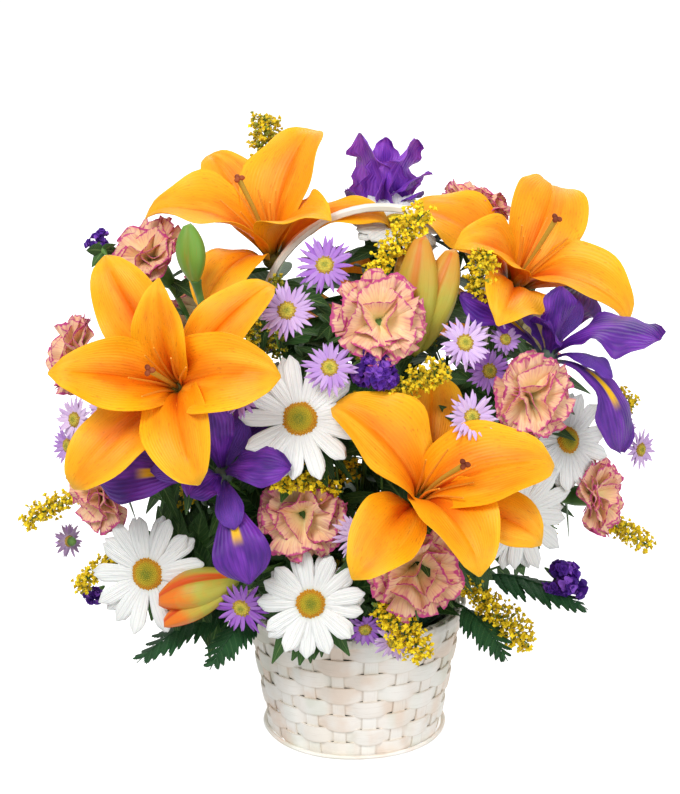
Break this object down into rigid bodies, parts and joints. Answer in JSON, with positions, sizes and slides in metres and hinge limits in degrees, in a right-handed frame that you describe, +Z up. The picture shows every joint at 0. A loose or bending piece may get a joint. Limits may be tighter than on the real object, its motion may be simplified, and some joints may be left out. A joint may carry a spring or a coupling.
{
  "type": "flower basket arrangement",
  "caption": "Round whitewashed woven basket with a hoop handle, filled with lilies, irises, daisies, carnations, asters and goldenrod.",
  "frame": {"origin": "middle of the basket's base, on its underside", "axes": "+Z up, -Y towards the front of the arrangement, +X to the right seen from the front"},
  "size_m": [0.4157, 0.3322, 0.404],
  "materials": {
    "whitewash": "thin matt whitewash over chip splints, with warm and grey-green bare patches",
    "liner": "dark green thin plastic",
    "foam": "wet dark green foam",
    "stem": "soft green plant stem",
    "lily": "satin orange petal, deeper along its middle",
    "bud": "satin green and orange bud",
    "iris": "velvety violet petal with a yellow mark",
    "daisy": "matt white petal with fine grooves",
    "carnation": "peach petal with a magenta edge",
    "aster": "lilac rays round a yellow disc",
    "statice": "dark violet papery florets",
    "goldenrod": "small bright yellow florets on green",
    "fern": "leathery dark green leaf"
  },
  "bodies": {
    "root": {"basket_wall": "whitewash", "basket_base": "whitewash", "basket_foot": "whitewash", "basket_handle": "whitewash", "basket_rim": "whitewash", "liner": "liner", "foam": "foam", "lily_stem_left": "stem", "lily_stem_front": "stem", "lily_stem_right": "stem", "iris_stem_left": "stem", "iris_stem_right": "stem", "iris_stem_top": "stem", "daisy_stem_left": "stem", "daisy_stem_right": "stem", "carnation_stem_left": "stem", "carnation_stem_middle": "stem", "carnation_stem_right": "stem", "lily_front": "lily", "lily_left": "lily", "lily_back_left": "lily", "lily_right": "lily", "lily_rear": "lily", "lily_bud_pair": "bud", "lily_bud_low": "bud", "iris_left": "iris", "iris_right": "iris", "iris_top": "iris", "daisy_centre": "daisy", "daisy_low_left": "daisy", "daisy_low_centre": "daisy", "daisy_right": "daisy", "daisy_far_right": "daisy", "daisy_top": "daisy", "daisy_rear_left": "daisy", "daisy_rear_right": "daisy", "carnation_top_left": "carnation", "carnation_far_left": "carnation", "carnation_low_left": "carnation", "carnation_centre": "carnation", "carnation_right": "carnation", "carnation_low_centre": "carnation", "carnation_low_front": "carnation", "carnation_far_right": "carnation", "carnation_top_right": "carnation", "carnation_rear_left": "carnation", "carnation_rear_right": "carnation", "aster_spray_left": "aster", "aster_spray_middle": "aster", "aster_spray_right": "aster", "statice_left": "statice", "statice_right": "statice", "goldenrod_left": "goldenrod", "goldenrod_middle": "goldenrod", "goldenrod_right": "goldenrod", "fern_left": "fern", "fern_right": "fern", "fern_rear_left": "fern", "fern_rear_right": "fern"}
  },
  "joints": []
}
